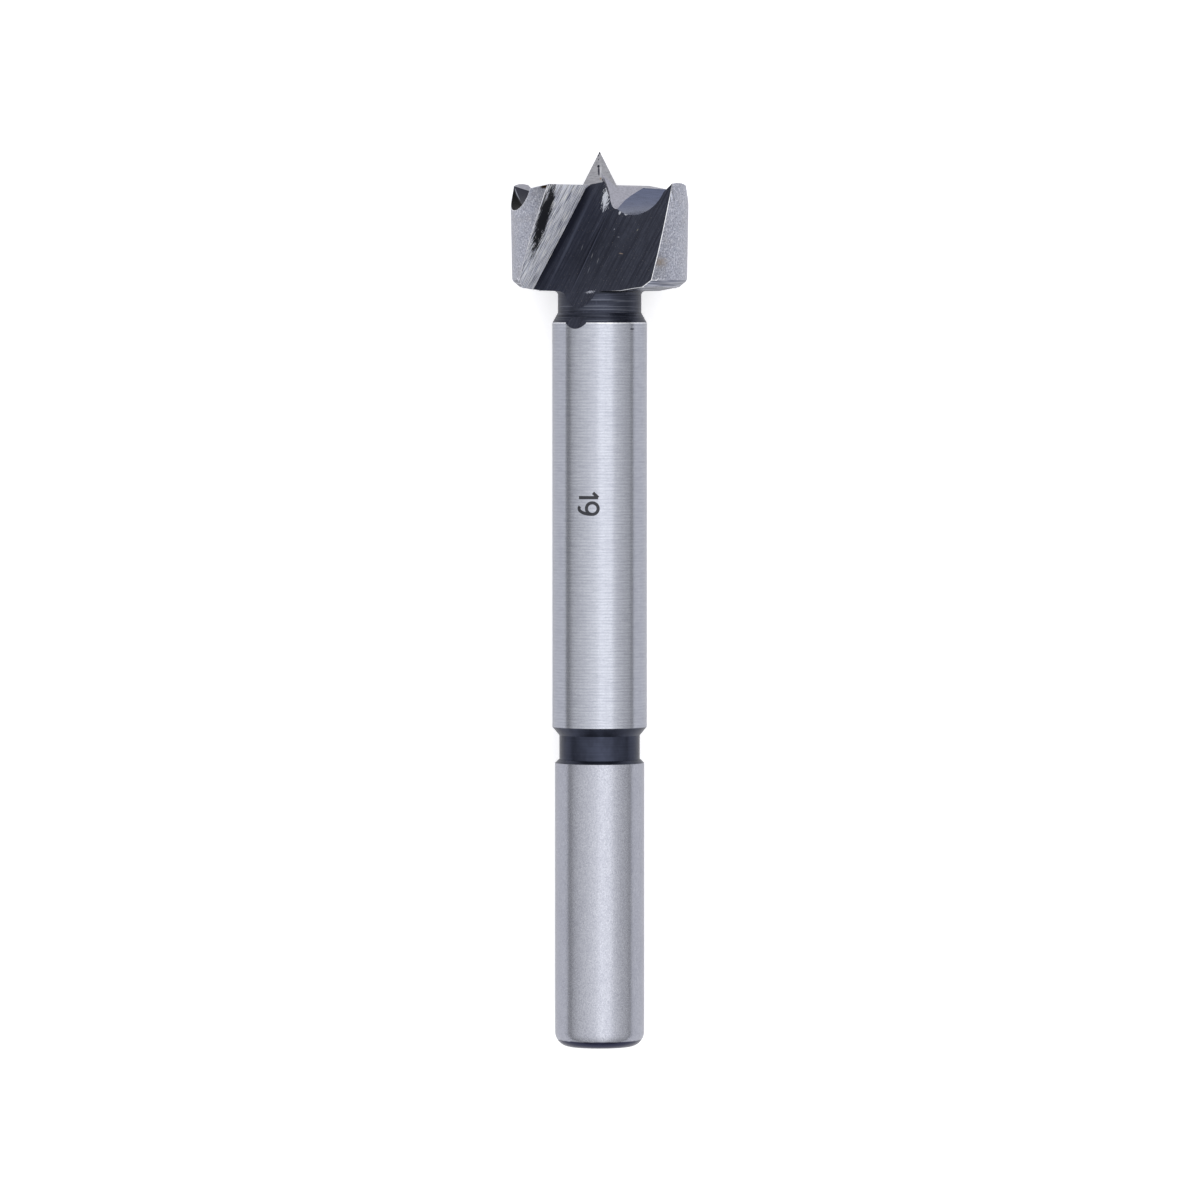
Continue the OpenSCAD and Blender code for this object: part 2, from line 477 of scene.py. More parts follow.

# Wheel-ground troughs: smoother than the rest, in a darker blue-grey that is painted shade of
# their hollow. Their rim side is painted darker still as shade, black in part, with a thin
# bright line of painted highlight along the crease.
GROUND_TROUGH = Finish(
    name="tool_steel_trough_ground",
    colour="#676e85",
    metallic=1.0,
    roughness=0.24,
    grains=(
        Grain(Lay.TROUGH, (0.12, 5, 0.12), "#4b4f5e", 0.4, 0.42, 0.68, 1.0, 2.0),
    ),
    patches=(
        # Painted shade on the rim side of each trough.
        Patch(Lay.NOTCH, (3.2, -1.5), (6, 3.2), 0, "#3b3c46", softness=0.1, level=8.6, reach=2.4),
        Patch(Lay.NOTCH, (-3.2, -1.5), (6, 3.2), 0, "#3b3c46", softness=0.1, level=-8.6, reach=2.4),
        # Painted shade: black where the rim side turns away from the light.
        Patch(
            Lay.NOTCH,
            (5.9, -1.9),
            (2.4, 3.4),
            0,
            "#08080b",
            softness=0.1,
            level=8.6,
            reach=4,
            roughness=0.6,
        ),
        # Painted highlight: a thin bright line along the crease of the rim side.
        Patch(Lay.NOTCH, (3.5, -0.95), (0.09, 0.8), 6, "#a5a9b2", softness=0.4, level=8.6, reach=2),
    ),
)

# Lands and heels: light warm grey with fine straight wheel lines.
GROUND_LAND = Finish(
    name="tool_steel_land_ground",
    colour="#b5b5bf",
    metallic=1.0,
    roughness=0.36,
    grains=(
        Grain(Lay.HEEL, (0.11, 3.0, 0.11), "#86868f", 0.6, 0.42, 0.68, 1.6, 2.0),
        Grain(Lay.TURNED, (0.25, 0.25, 0.25), "#9b9aa0", 0.25, 0.45, 0.7, 0.0, 2.0, 5.0),
    ),
    patches=(
        Patch(Lay.POINT, (1.4, -0.5), (0.07, 1.7), -28, "#45454f", 0.8, (0.1, 0.3), 0.3, 0.8, 1.6),
    ),
)

# Centre point: light grey with a cloudy grind. A dark sliver and chips run down the edge
# between its two near faces, and heat left a brown spot at its foot.
GROUND_POINT = Finish(
    name="tool_steel_point_ground",
    colour="#b3b3b9",
    metallic=1.0,
    roughness=0.4,
    grains=(
        Grain(Lay.POINT, (0.6, 0.12, 0.3), "#85858d", 0.6, 0.42, 0.66, 1.6, 3.0),
        Grain(Lay.POINT, (0.12, 0.12, 0.12), "#d0d0d6", 0.3, 0.5, 0.72, 0.0, 2.0, 5.0),
    ),
    patches=(
        Patch(Lay.POINT, (0.38, 1.45), (0.06, 0.75), -6, "#dcdce2", softness=0.6),
        Patch(Lay.POINT, (0.15, 1.46), (0.13, 0.62), -10, "#484853", 0.4, (0.1, 0.1), 0.4),
        Patch(Lay.POINT, (0.05, 1.99), (0.19, 0.18), 0, "#34343e", 0.6, (0.1, 0.1), 0.4),
        Patch(Lay.POINT, (-0.02, 2.69), (0.09, 0.1), 0, "#4f4f5a", softness=0.5),
        Patch(Lay.POINT, (-0.12, 3.13), (0.1, 0.16), 0, "#444450", softness=0.5),
        Patch(Lay.POINT, (0.04, 3.42), (0.12, 0.2), 0, "#3d3d48", softness=0.5),
        Patch(Lay.POINT, (0.48, 0.64), (0.11, 0.09), 0, "#a07c4c", softness=0.5),
        Patch(Lay.POINT, (0.9, 0.25), (0.07, 0.7), -30, "#3a3a44", 0.6, (0.1, 0.3), 0.3),
    ),
)

# Underside of the head: turned steel with a thin, worn oxide that shines blue-grey.
WORN_UNDERSIDE = Finish(
    name="tool_steel_turned_underside",
    colour="#7d8190",
    metallic=1.0,
    roughness=0.3,
    grains=(
        Grain(Lay.TURNED, (5, 5, 0.16), "#3a3e4d", 0.85, 0.44, 0.6, 1.5, 1.0),
        Grain(Lay.TURNED, (4, 4, 0.13), "#dfe1ea", 0.6, 0.5, 0.68, 0.0, 1.0, 3.0),
    ),
)

# Rounded cutting edges, in a near-white that paints a highlight along them on top of the light
# that their rounds catch.
EDGE_PAINTED_HIGHLIGHT = Finish(
    name="tool_steel_edge_painted_highlight",
    colour="#f0f1f6",
    metallic=1.0,
    roughness=0.3,
    grains=(Grain(Lay.TURNED, (0.3, 0.3, 0.3), "#a9abb5", 0.6, 0.45, 0.65, 0.0, 2.0, 2.0),),
)

# Laser-annealed number: a dark, matt grey-black in the steel's own skin.
ANNEALED_MARK = Finish(
    name="laser_annealed_steel",
    colour="#26272d",
    metallic=0.3,
    roughness=0.5,
    grains=(Grain(Lay.TURNED, (7, 7, 0.17), "#3f414a", 0.5, 0.42, 0.7, 0.0, 1.0),),
)


class Region(Enum):
    """The bit's surfaces, by the tool that made them, with their finishes."""

    SHANK = GROUND_SHANK
    BODY = GROUND_BODY
    WAIST = BLACK_WAIST
    NECK = BLACK_NECK
    UNDERSIDE = WORN_UNDERSIDE
    SIDE = GROUND_SIDE
    RAKE = GROUND_RAKE
    FLOOR = BLACK_FLOOR
    TROUGH = GROUND_TROUGH
    LAND = GROUND_LAND
    POINT = GROUND_POINT
    EDGE = EDGE_PAINTED_HIGHLIGHT


class FinishMaker:
    """Turns finishes into materials, on Object coordinates."""

    def __init__(self, lays: LayFrames) -> None:
        """Keeps the lays' frames."""
        self.lays = lays

    def material(self, finish: Finish) -> bpy.types.Material:
        """Builds a finish's material.

        Args:
            finish: The finish.

        Returns:
            The material, ready to assign.
        """
        material = bpy.data.materials.new(finish.name)
        material.use_nodes = True
        tree = material.node_tree
        tree.nodes.clear()
        shader = add_node(tree, "ShaderNodeBsdfPrincipled", {"Metallic": finish.metallic})
        output = add_node(tree, "ShaderNodeOutputMaterial", links={"Surface": shader.outputs[0]})
        output.is_active_output = True
        places = add_node(tree, "ShaderNodeTexCoord").outputs["Object"]
        colour = linear(finish.colour)
        height = None
        for grain in finish.grains:
            marks = self.marks(tree, places, grain)
            share = self.share(tree, marks, grain.low, grain.high, grain.strength)
            colour = self.blend(tree, share, colour, linear(grain.colour))
            if grain.depth:
                height = self.deepen(tree, marks, grain.depth, height)
        rough = None
        for patch in finish.patches:
            mask = self.patch_mask(tree, places, patch)
            colour = self.blend(tree, mask, colour, linear(patch.colour))
            if patch.roughness is not None:
                rough = self.between(tree, mask, finish.roughness, patch.roughness)
        if finish.end_black:
            mask = self.end_mask(tree, places, finish.end_black)
            colour = self.blend(tree, mask, colour, linear("#34364a"))
        tree.links.new(colour, shader.inputs["Base Color"])
        if rough is None:
            shader.inputs["Roughness"].default_value = finish.roughness
        else:
            tree.links.new(rough, shader.inputs["Roughness"])
        if height is not None:
            bump = add_node(
                tree, "ShaderNodeBump", {"Distance": MICRON, "Strength": 1.0}, {"Height": height}
            )
            tree.links.new(bump.outputs[0], shader.inputs["Normal"])
        return material

    def place_on(
        self, tree: bpy.types.NodeTree, places: bpy.types.NodeSocket, lay: Lay
    ) -> bpy.types.NodeSocket:
        """Object coordinates in a lay's own millimetres."""
        values = self.lays.mapping(lay)
        return add_node(tree, "ShaderNodeMapping", values, {"Vector": places}).outputs[0]

    def marks(
        self, tree: bpy.types.NodeTree, places: bpy.types.NodeSocket, grain: Grain
    ) -> bpy.types.NodeSocket:
        """Noise whose cells have the grain's sizes in millimetres, along its lay.

        Rings are a wave, sin(20 scale z + unevenness), whose scale gives one ring to a cell.
        """
        local = self.place_on(tree, places, grain.lay)
        if not grain.rings:
            return self.noise(tree, local, grain.cell, grain.detail, grain.seed)
        scaled = add_node(
            tree, "ShaderNodeMapping", {"Scale": tuple(1 / c for c in grain.cell)}, {"Vector": local}
        )
        values = {"Scale": math.tau / 20, "Distortion": 1.6, "Detail": grain.detail}
        where = {"Vector": scaled.outputs[0]}
        wave = add_node(tree, "ShaderNodeTexWave", values, where, bands_direction="Z")
        return wave.outputs["Fac"]

    @staticmethod
    def noise(
        tree: bpy.types.NodeTree,
        local: bpy.types.NodeSocket,
        cell: tuple[float, float, float],
        detail: float,
        seed: float,
    ) -> bpy.types.NodeSocket:
        """Noise of p / cell + seed, about 0.5 on average."""
        values = {"Scale": tuple(1 / c for c in cell), "Location": (seed, seed, seed)}
        scaled = add_node(tree, "ShaderNodeMapping", values, {"Vector": local})
        values = {"Scale": 1.0, "Detail": detail, "Roughness": 0.55}
        return add_node(tree, "ShaderNodeTexNoise", values, {"Vector": scaled.outputs[0]}).outputs[0]

    @staticmethod
    def share(
        tree: bpy.types.NodeTree,
        marks: bpy.types.NodeSocket,
        low: float,
        high: float,
        strength: float,
    ) -> bpy.types.NodeSocket:
        """Share that rises from 0 to the strength as the noise goes from low to high."""
        values = {"From Min": low, "From Max": high, "To Min": 0.0, "To Max": strength}
        return add_node(tree, "ShaderNodeMapRange", values, {"Value": marks}).outputs[0]

    @staticmethod
    def blend(
        tree: bpy.types.NodeTree,
        share: bpy.types.NodeSocket,
        below: bpy.types.NodeSocket | tuple[float, float, float, float],
        above: tuple[float, float, float, float],
    ) -> bpy.types.NodeSocket:
        """Mixes a colour over another by a share. The one below may be a constant."""
        mix = add_node(tree, "ShaderNodeMix", {7: above}, {0: share}, data_type="RGBA")
        if isinstance(below, tuple):
            mix.inputs[6].default_value = below
        else:
            tree.links.new(below, mix.inputs[6])
        return mix.outputs[2]

    @staticmethod
    def between(
        tree: bpy.types.NodeTree, share: bpy.types.NodeSocket, low: float, high: float
    ) -> bpy.types.NodeSocket:
        """Value that goes from low to high with the share."""
        values = {"To Min": low, "To Max": high}
        return add_node(tree, "ShaderNodeMapRange", values, {"Value": share}).outputs[0]

    @staticmethod
    def deepen(
        tree: bpy.types.NodeTree,
        marks: bpy.types.NodeSocket,
        depth: float,
        below: bpy.types.NodeSocket | None,
    ) -> bpy.types.NodeSocket:
        """Adds marks of a depth in microns to a height."""
        cut = add_node(tree, "ShaderNodeMath", {1: -depth}, {0: marks}, operation="MULTIPLY")
        if below is None:
            return cut.outputs[0]
        both = {0: below, 1: cut.outputs[0]}
        return add_node(tree, "ShaderNodeMath", links=both, operation="ADD").outputs[0]

    def patch_mask(
        self, tree: bpy.types.NodeTree, places: bpy.types.NodeSocket, patch: Patch
    ) -> bpy.types.NodeSocket:
        """Mask of an oval, with a torn edge where it is ragged.

        With q the place from the oval's centre, turned and divided by its half sizes, and n
        noise stretched along the lay, it rises from 0 where 1 - |q| + raggedness (n - 0.5) does.
        """
        local = self.place_on(tree, places, patch.lay)
        angle = math.radians(patch.turn)
        turn = np.array([[math.cos(angle), -math.sin(angle)], [math.sin(angle), math.cos(angle)]])
        centre = turn @ np.array(patch.centre)
        values = {"Rotation": (0, 0, angle), "Location": (-centre[0], -centre[1], -patch.level)}
        turned = add_node(tree, "ShaderNodeMapping", values, {"Vector": local}).outputs[0]
        shares = {1: (1 / patch.half[0], 1 / patch.half[1], 1 / patch.reach)}
        scaled = add_node(
            tree, "ShaderNodeVectorMath", shares, {0: turned}, operation="MULTIPLY"
        ).outputs[0]
        size = add_node(tree, "ShaderNodeVectorMath", links={0: scaled}, operation="LENGTH")
        values = {"From Min": 1.0, "From Max": 1.0 - patch.softness}
        size = size.outputs["Value"]
        if patch.raggedness:
            noise = self.noise(tree, local, (*patch.tear, patch.tear[0]), 3.0, 0.0)
            values = {"From Min": 1 - patch.raggedness / 2}
            values["From Max"] = values["From Min"] - patch.softness
            less = {1: -patch.raggedness}
            both = {0: noise, 2: size}
            size = add_node(tree, "ShaderNodeMath", less, both, operation="MULTIPLY_ADD").outputs[0]
        return add_node(tree, "ShaderNodeMapRange", values, {"Value": size}).outputs[0]

    def end_mask(
        self, tree: bpy.types.NodeTree, places: bpy.types.NodeSocket, height: float
    ) -> bpy.types.NodeSocket:
        """Mask that is 1 below a height above the shank's end, with a slightly uneven edge."""
        local = self.place_on(tree, places, Lay.TURNED)
        noise = self.noise(tree, local, (0.8, 0.8, 0.8), 1.0, 1.0)
        z = add_node(tree, "ShaderNodeSeparateXYZ", links={0: local}).outputs["Z"]
        uneven = add_node(
            tree, "ShaderNodeMath", {1: 0.15}, {0: noise, 2: z}, operation="MULTIPLY_ADD"
        ).outputs[0]
        values = {"From Min": height + 0.1, "From Max": height, "To Min": 0.0, "To Max": 1.0}
        return add_node(tree, "ShaderNodeMapRange", values, {"Value": uneven}).outputs[0]


@dataclass
class SteelBit:
    """The bit's visible mesh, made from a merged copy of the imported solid."""

    sizes: BitSizes
    pose: RestPose
    lays: LayFrames
    merge_gap: float = 0.001
    flat_angle: float = 0.2
    sharp_angle: float = 22.0
    worn_angle: float = 25.0
    worn_round: float = 0.065
    ring_gap: float = 0.01
    corner_round: float = 0.25
    side_down: float = 0.35
    corner_out: float = 0.25
    brim_slope: float = 0.19
    side_taper: float = 0.0192
    fill_rounds: int = 4

    def build(self, makers: FinishMaker) -> bpy.types.Object:
        """Builds, dresses and links the bit.

        Args:
            makers: The maker of its materials.

        Returns:
            The object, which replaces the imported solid.
        """
        mesh = frame["nodes"][CAD_NODE].data.copy()
        mesh.name = "forstner_bit"
        mesh.materials.clear()
        for region in Region:
            mesh.materials.append(makers.material(region.value))
        bm = bmesh.new()
        bm.from_mesh(mesh)
        bmesh.ops.remove_doubles(bm, verts=bm.verts, dist=self.merge_gap * MM)
        self.sort_faces(bm)
        bmesh.ops.dissolve_limit(
            bm,
            angle_limit=math.radians(self.flat_angle),
            verts=bm.verts,
            edges=bm.edges,
            delimit={"MATERIAL"},
        )
        self.fill_corner(bm)
        self.round_ring(bm, self.sizes.side_z - self.side_down, self.corner_round)
        self.mark_edges(bm)
        bm.to_mesh(mesh)
        bm.free()
        bit = bpy.data.objects.new("forstner_bit", mesh)
        bpy.context.scene.collection.objects.link(bit)
        edge_bevel = bit.modifiers.new("edge_rounds_painted_highlight", "BEVEL")
        edge_bevel.limit_method = "WEIGHT"
        edge_bevel.width = self.worn_round * MM
        edge_bevel.segments = 2
        edge_bevel.use_clamp_overlap = False
        edge_bevel.harden_normals = True
        # The rounds take the near-white edge finish, a painted highlight.
        edge_bevel.material = list(Region).index(Region.EDGE)
        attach(bit, BODY)
        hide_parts(CAD_NODE)
        log.info("forstner_bit: %d faces", len(mesh.polygons))
        return bit

    def sort_faces(self, bm: bmesh.types.BMesh) -> None:
        """Gives every face the material of its region, found from its place and its normal."""
        s = self.sizes
        bm.normal_update()
        faces = list(bm.faces)
        centres = self.pose.to_bit(np.array([f.calc_center_median() for f in faces]))
        normals = self.pose.turn_to_bit(np.array([f.normal for f in faces]))
        z = centres[:, 2]
        across = np.hypot(centres[:, 0], centres[:, 1])
        upright = np.abs(normals[:, 2]) < 0.1
        found = np.full(len(faces), list(Region).index(Region.LAND))

        def put(mask: np.ndarray, region: Region) -> None:
            """Gives the faces of a mask their region."""
            found[mask] = list(Region).index(region)

        put(z < s.waist_z - s.shank_chamfer, Region.SHANK)
        put((z > s.waist_z - s.shank_chamfer) & (z < s.shoulder_z), Region.WAIST)
        put((z >= s.shoulder_z) & (z < s.head_z - 0.001), Region.NECK)
        put((z > s.body_z) & (z < s.shoulder_z) & upright, Region.BODY)
        put((z >= s.head_z - 0.001) & (z < s.side_z), Region.UNDERSIDE)
        put((z > s.side_z - 0.01) & upright & (across > s.head_d / 2 - 0.6), Region.SIDE)
        steep = (np.abs(normals[:, 2]) > 0.1) & (np.abs(normals[:, 2]) < 0.3)
        put(steep & (across < 2.5) & (z > s.lip_z - 1), Region.POINT)
        put(self.in_trough(centres, normals), Region.TROUGH)
        put(self.lays.wall.holds(centres, normals), Region.RAKE)
        put(self.lays.floor.holds(centres, normals), Region.FLOOR)
        for face, index in zip(faces, found):
            face.material_index = int(index)
            face.smooth = True

    def in_trough(self, centres: np.ndarray, normals: np.ndarray) -> np.ndarray:
        """Says which faces lie on the round of a trough.

        A point p is on it when its distance from the trough's axis, |(p - o) - ((p - o) . a) a|,
        is the trough's radius, and there the normal looks at the axis.
        """
        s = self.sizes
        along = unit_vector(-s.trough_turn, s.trough_rise)
        foot = np.array([0, 0, s.lip_z + s.trough_up]) - s.trough_back * unit_vector(
            90 - s.trough_turn, 0
        )
        found = np.zeros(len(centres), bool)
        for turned in (np.array([1, 1, 1]), np.array([-1, -1, 1])):
            away = centres * turned - foot
            away -= (away @ along)[:, None] * along
            radius = np.linalg.norm(away, axis=1)
            inward = np.einsum("ij,ij->i", away / radius[:, None], normals * turned)
            found |= (np.abs(radius - s.trough_r) < 0.08) & (inward < -0.9)
        return found

    def fill_corner(self, bm: bmesh.types.BMesh) -> None:
        """Makes the corner under the head's side as full as the photograph shows it.

        With t the share of the chamfer's height from its lower ring, a point on it goes out by
        (1 - t) corner_out, up by brim_slope times that, and down by t side_down. Points on a
        gullet's plane then go back onto it, p - (n . p - reach) n, at the same distance from
        the axis, which takes a few rounds. Nothing goes below the floor.

        Args:
            bm: The mesh.
        """
        s = self.sizes
        places = self.pose.to_bit(np.array([vertex.co for vertex in bm.verts]))
        t = (places[:, 2] - s.corner_z) / (s.side_z - s.corner_z)
        inside = (t > -self.ring_gap) & (t < 1 + self.ring_gap)
        out = inside * (1 - t) * self.corner_out
        outward = places * [1, 1, 0] / (np.hypot(places[:, 0], places[:, 1])[:, None] + MM)
        moved = places + out[:, None] * outward
        moved -= (inside * t * self.side_down * self.side_taper)[:, None] * outward
        moved[:, 2] += out * self.brim_slope - inside * t * self.side_down
        radius = np.hypot(moved[:, 0], moved[:, 1])
        for _ in range(self.fill_rounds):
            share = radius / (np.hypot(moved[:, 0], moved[:, 1]) + MICRON)
            moved[inside, :2] *= share[inside, None]
            for plane in (self.lays.wall, self.lays.floor):
                for turned in (np.array([1, 1, 1]), np.array([-1, -1, 1])):
                    normal = plane.normal * turned
                    on_plane = inside & (np.abs(places @ normal - plane.reach) < self.ring_gap)
                    moved -= np.outer(on_plane * (moved @ normal - plane.reach), normal)
        in_row = self.pose.to_row(moved)
        in_row[:, 2] = np.maximum(in_row[:, 2], 0)
        for vertex, place in zip(bm.verts, in_row):
            vertex.co = place
        bm.normal_update()

    def round_ring(self, bm: bmesh.types.BMesh, height: float, width: float) -> None:
        """Rounds the ring edge at a height, by a width to each side of it."""
        ring = []
        for edge in bm.edges:
            ends = self.pose.to_bit(np.array([vertex.co for vertex in edge.verts]))[:, 2]
            if np.all(np.abs(ends - height) < self.ring_gap):
                ring.append(edge)
        bmesh.ops.bevel(
            bm,
            geom=ring,
            offset=width * MM,
            segments=4,
            profile=0.5,
            affect="EDGES",
            material=-1,
        )
        for face in bm.faces:
            face.smooth = True
        bm.normal_update()

    def mark_edges(self, bm: bmesh.types.BMesh) -> None:
        """Marks the edges to keep sharp, and weights the head's outer edges that wear rounds,
        which take the near-white edge finish as a painted highlight.

        The centre point's own edges stay sharp, up to its tip.
        """
        weights = bm.edges.layers.float.new("bevel_weight_edge")
        low, high = self.sizes.shoulder_z - 1.5, self.sizes.lip_z + 0.3
        rounded = {list(Region).index(Region.SIDE), list(Region).index(Region.UNDERSIDE)}
        outer = rounded | {list(Region).index(Region.BODY)}
        for edge in bm.edges:
            if len(edge.link_faces) != 2:
                continue
            one, other = edge.link_faces
            angle = math.degrees(edge.calc_face_angle(0.0))
            pair = {one.material_index, other.material_index}
            edge.smooth = angle < self.sharp_angle and (len(pair) == 1 or pair <= rounded)
            middle = (edge.verts[0].co + edge.verts[1].co) / 2
            height = self.pose.to_bit(np.array([middle]))[0, 2]
            if pair & outer and angle > self.worn_angle and edge.is_convex and low < height < high:
                edge[weights] = 1.0


@dataclass
class SizeNumber:
    """A plain number on the body, in strokes of one width carried along arcs and lines."""

    sizes: BitSizes
    pose: RestPose
    height: float = 2.45
    stroke: float = 0.34
    gap: float = 0.55
    along: float = 58.4
    side: float = -1.04
    proud: float = 0.012
    steps: int = 40

    def strokes(self) -> list[np.ndarray]:
        """Centre lines of the number's strokes, as points (u, v): u reads on, v is up.

        A one is a stem and a flag, and a nine is an oval (a cos t, b sin t) with a tail that
        follows a wider arc.
        """
        h, w = self.height - self.stroke, 0.5 * self.height
        stem_u = 0.42 * w
        stem = np.array([[stem_u, 0], [stem_u, h]])
        flag = np.array([[stem_u, h], [stem_u - 0.42 * w, 0.74 * h]])
        start = stem_u + self.gap + w / 2
        t = np.linspace(0, 2 * math.pi, self.steps)
        bowl_b = 0.3 * h
        bowl = np.c_[start + w / 2 * np.cos(t), h - bowl_b + bowl_b * np.sin(t)]
        t = np.linspace(0, -0.62 * math.pi, self.steps // 2)
        tail = np.c_[start + w / 2 * np.cos(t), h - bowl_b + (h - bowl_b) * np.sin(t)]
        return [stem, flag, bowl, tail]

    def build(self, makers: FinishMaker) -> bpy.types.Object:
        """Builds the number as thin closed ribbons laid on the body's cylinder."""
        vertices, faces = [], []
        for line in self.strokes():
            ribbon, quads = self.ribbon(line)
            faces += [tuple(i + len(vertices) for i in quad) for quad in quads]
            vertices += ribbon.tolist()
        mesh = bpy.data.meshes.new("size_number")
        mesh.from_pydata(vertices, [], faces)
        mesh.materials.append(makers.material(ANNEALED_MARK))
        number = bpy.data.objects.new("size_number", mesh)
        bpy.context.scene.collection.objects.link(number)
        self.face_outwards(mesh)
        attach(number, BODY)
        log.info("size_number: %d faces", len(mesh.polygons))
        return number

    @staticmethod
    def face_outwards(mesh: bpy.types.Mesh) -> None:
        """Recalculates the normals of a closed mesh."""
        bm = bmesh.new()
        bm.from_mesh(mesh)
        bmesh.ops.recalc_face_normals(bm, faces=bm.faces)
        bm.to_mesh(mesh)
        bm.free()

    def ribbon(self, line: np.ndarray) -> tuple[np.ndarray, list[tuple[int, ...]]]:
        """Carries a flat rectangle along a centre line and lays it on the cylinder.

        Each point of the line gives four corners, at half a stroke to each side along the
        normal n = (-dv, du), above and below the surface. A point (u, v) then goes to the
        angle (side + v) / r round the body and the height along - u.

        Args:
            line: The centre line's points.

        Returns:
            The vertices in metres, and the faces.
        """
        if len(line) == 2:
            line = np.linspace(line[0], line[1], 6)
        step = np.gradient(line, axis=0)
        step /= np.linalg.norm(step, axis=1)[:, None]
        normal = np.c_[-step[:, 1], step[:, 0]] * self.stroke / 2
        radius = self.sizes.body_d / 2
        corners = [(1, self.proud), (-1, self.proud), (-1, -self.proud), (1, -self.proud)]
        flat = np.stack([line + side * normal for side, _ in corners], axis=1)
        lift = radius + np.array([rise for _, rise in corners])
        angle = (self.side - self.height / 2 + flat[:, :, 1]) / radius
        middle = self.gap + 0.5 * self.height
        z = self.along + middle / 2 - flat[:, :, 0]
        up = self.pose.turn_to_bit(np.array([[0.0, 0.0, 1.0]]))[0]
        up[2] = 0
        up /= np.linalg.norm(up)
        right = self.pose.turn_to_bit(np.array([[1.0, 0.0, 0.0]]))[0]
        radial = np.sin(angle)[..., None] * right + np.cos(angle)[..., None] * up
        points = radial * lift[None, :, None] + z[..., None] * np.array([0, 0, 1.0])
        rings = len(line)
        quads = [
            (4 * i + k, 4 * i + (k + 1) % 4, 4 * i + 4 + (k + 1) % 4, 4 * i + 4 + k)
            for i in range(rings - 1)
            for k in range(4)
        ]
        last = 4 * (rings - 1)
        quads += [(3, 2, 1, 0), (last, last + 1, last + 2, last + 3)]
        return self.pose.to_row(points.reshape(-1, 3)), quads


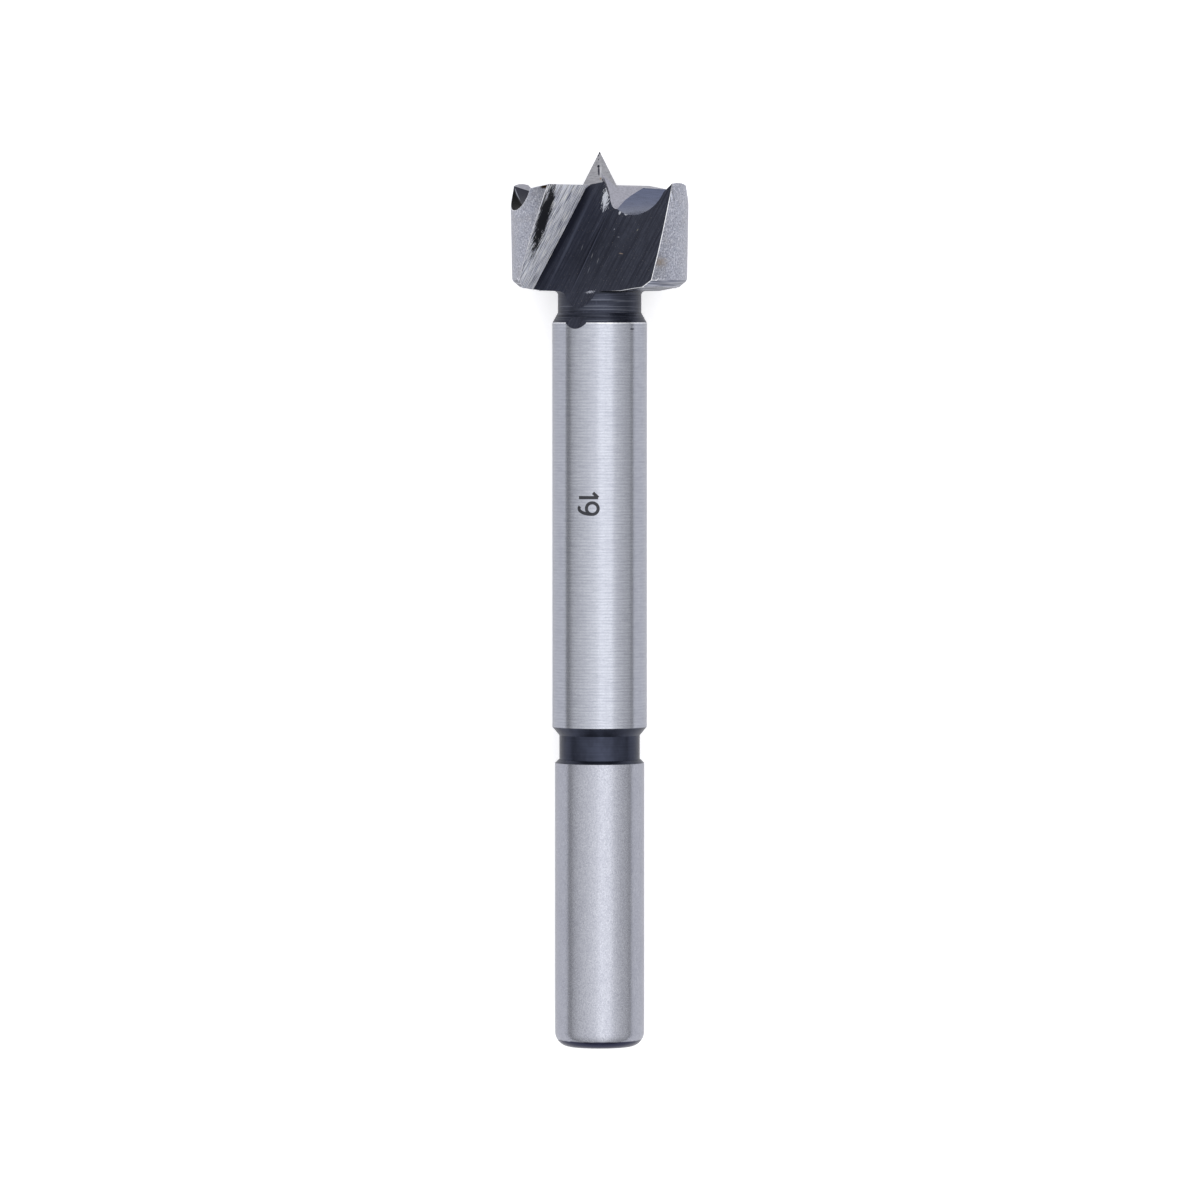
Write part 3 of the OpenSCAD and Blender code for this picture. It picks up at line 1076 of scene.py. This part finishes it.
@dataclass
class Studio:
    """The floor, the light and the camera. Lengths are in metres, angles in degrees."""

    floor_size: float = 1.2
    tent_top: float = 1.8
    camera_height: float = 0.9363
    camera_shift: float = 0.00004
    field: float = 7.88
    fill: float = 0.5
    mirrored_fill: float = 0.03
    # Brightness of the light tent by the angle from straight up, towards +X: a lamp overhead
    # a little to the right, softer wings, and a thin dark gap where the tent meets the table.
    tent: tuple[tuple[float, float], ...] = (
        (-180, 0.3),
        (-90, 0.36),
        (-86, 0.38),
        (-78.5, 0.38),
        (-74, 0.68),
        (-64, 0.84),
        (-54, 0.95),
        (-43, 1.02),
        (-33, 1.11),
        (-23, 1.24),
        (-13, 1.34),
        (-6, 1.4),
        (-1, 1.66),
        (6, 1.74),
        (16, 1.6),
        (26, 1.68),
        (30, 1.62),
        (36, 1.2),
        (43, 1.06),
        (52, 0.94),
        (62, 0.82),
        (73, 0.73),
        (80, 0.68),
        (82, 0.43),
        (91, 0.4),
        (180, 0.3),
    )

    def build(self) -> None:
        """Builds the stage, the light and the camera, and sets the view's transform."""
        bpy.context.scene.view_settings.view_transform = "Standard"
        self.build_floor()
        self.build_tent()
        self.build_camera()

    def build_floor(self) -> None:
        """A pale floor that the camera sees as white, apart from the bit's shadow on it."""
        half = self.floor_size / 2
        corners = [(-half, -half, 0), (half, -half, 0), (half, half, 0), (-half, half, 0)]
        mesh = bpy.data.meshes.new("floor")
        mesh.from_pydata(corners, [], [(0, 1, 2, 3)])
        floor = bpy.data.objects.new("floor", mesh)
        bpy.context.scene.collection.objects.link(floor)
        material = bpy.data.materials.new("white_paper")
        material.use_nodes = True
        tree = material.node_tree
        tree.nodes.clear()
        paper = add_node(tree, "ShaderNodeBsdfDiffuse", {"Color": linear("#ececef")})
        glow = add_node(tree, "ShaderNodeEmission", {"Color": linear("#ffffff")})
        rays = add_node(tree, "ShaderNodeLightPath")
        seen = {0: rays.outputs["Is Camera Ray"]}
        seen = add_node(tree, "ShaderNodeMath", {1: self.fill}, seen, operation="MULTIPLY")
        mirrored = {0: rays.outputs["Is Glossy Ray"], 2: seen.outputs[0]}
        values = {1: self.mirrored_fill}
        strength = add_node(tree, "ShaderNodeMath", values, mirrored, operation="MULTIPLY_ADD")
        tree.links.new(strength.outputs[0], glow.inputs["Strength"])
        both = add_node(tree, "ShaderNodeAddShader", links={0: paper.outputs[0], 1: glow.outputs[0]})
        add_node(tree, "ShaderNodeOutputMaterial", links={"Surface": both.outputs[0]})
        mesh.materials.append(material)
        log.info("floor: %.1f m square", self.floor_size)

    def build_tent(self) -> None:
        """The light tent, as a world whose brightness follows the angle round the Y axis.

        The angle is atan2(x, z) of a direction, and the brightness falls to half along Y.
        The camera sees plain white.
        """
        world = bpy.data.worlds.new("light_tent")
        bpy.context.scene.world = world
        world.use_nodes = True
        tree = world.node_tree
        tree.nodes.clear()
        towards = add_node(tree, "ShaderNodeTexCoord").outputs["Generated"]
        parts = add_node(tree, "ShaderNodeSeparateXYZ", links={0: towards})
        both = {0: parts.outputs["X"], 1: parts.outputs["Z"]}
        angle = add_node(tree, "ShaderNodeMath", links=both, operation="ARCTAN2").outputs[0]
        values = {"From Min": -math.pi, "From Max": math.pi}
        place = add_node(tree, "ShaderNodeMapRange", values, {"Value": angle}).outputs[0]
        ramp = add_node(tree, "ShaderNodeValToRGB", links={0: place})
        stops = ramp.color_ramp.elements
        while len(stops) > 1:
            stops.remove(stops[-1])
        for number, (degrees, brightness) in enumerate(self.tent):
            position = (degrees + 180) / 360
            stop = stops[0] if number == 0 else stops.new(position)
            stop.position = position
            level = brightness / self.tent_top
            stop.color = (level, level, level, 1)
        along = add_node(
            tree, "ShaderNodeMath", {1: 2.0}, {0: parts.outputs["Y"]}, operation="POWER"
        ).outputs[0]
        values = {"To Min": self.tent_top, "To Max": self.tent_top * 0.5}
        strength = add_node(tree, "ShaderNodeMapRange", values, {"Value": along}).outputs[0]
        tent = add_node(
            tree, "ShaderNodeBackground", links={"Color": ramp.outputs[0], "Strength": strength}
        )
        white = add_node(tree, "ShaderNodeBackground", {"Color": linear("#ffffff")})
        rays = add_node(tree, "ShaderNodeLightPath")
        mixed = {0: rays.outputs["Is Camera Ray"], 1: tent.outputs[0], 2: white.outputs[0]}
        mix = add_node(tree, "ShaderNodeMixShader", links=mixed)
        add_node(tree, "ShaderNodeOutputWorld", links={"Surface": mix.outputs[0]})
        log.info("light_tent: %d stops", len(self.tent))

    def build_camera(self) -> None:
        """The camera, straight above the middle of the bit, with its top towards the tip."""
        lens = bpy.data.cameras.new("camera")
        lens.sensor_width = 36.0
        lens.lens = lens.sensor_width / 2 / math.tan(math.radians(self.field / 2))
        lens.clip_start = 0.01
        camera = bpy.data.objects.new("camera", lens)
        camera.location = Vector((self.camera_shift, 0, self.camera_height))
        bpy.context.scene.collection.objects.link(camera)
        bpy.context.scene.camera = camera
        log.info("camera: %.0f mm lens", lens.lens)


def corners(box: tuple[Vector, Vector]) -> list[list[float]]:
    """A box's two corners as plain lists."""
    return [list(corner) for corner in box]


def main() -> None:
    """Builds the bit and its studio."""
    logging.basicConfig(level=logging.INFO, format="%(name)s %(message)s")
    sizes = BitSizes()
    pose = RestPose(sizes)
    lays = LayFrames(sizes, pose)
    makers = FinishMaker(lays)
    Studio().build()
    SteelBit(sizes, pose, lays).build(makers)
    SizeNumber(sizes, pose).build(makers)


if __name__ == "__main__":
    main()
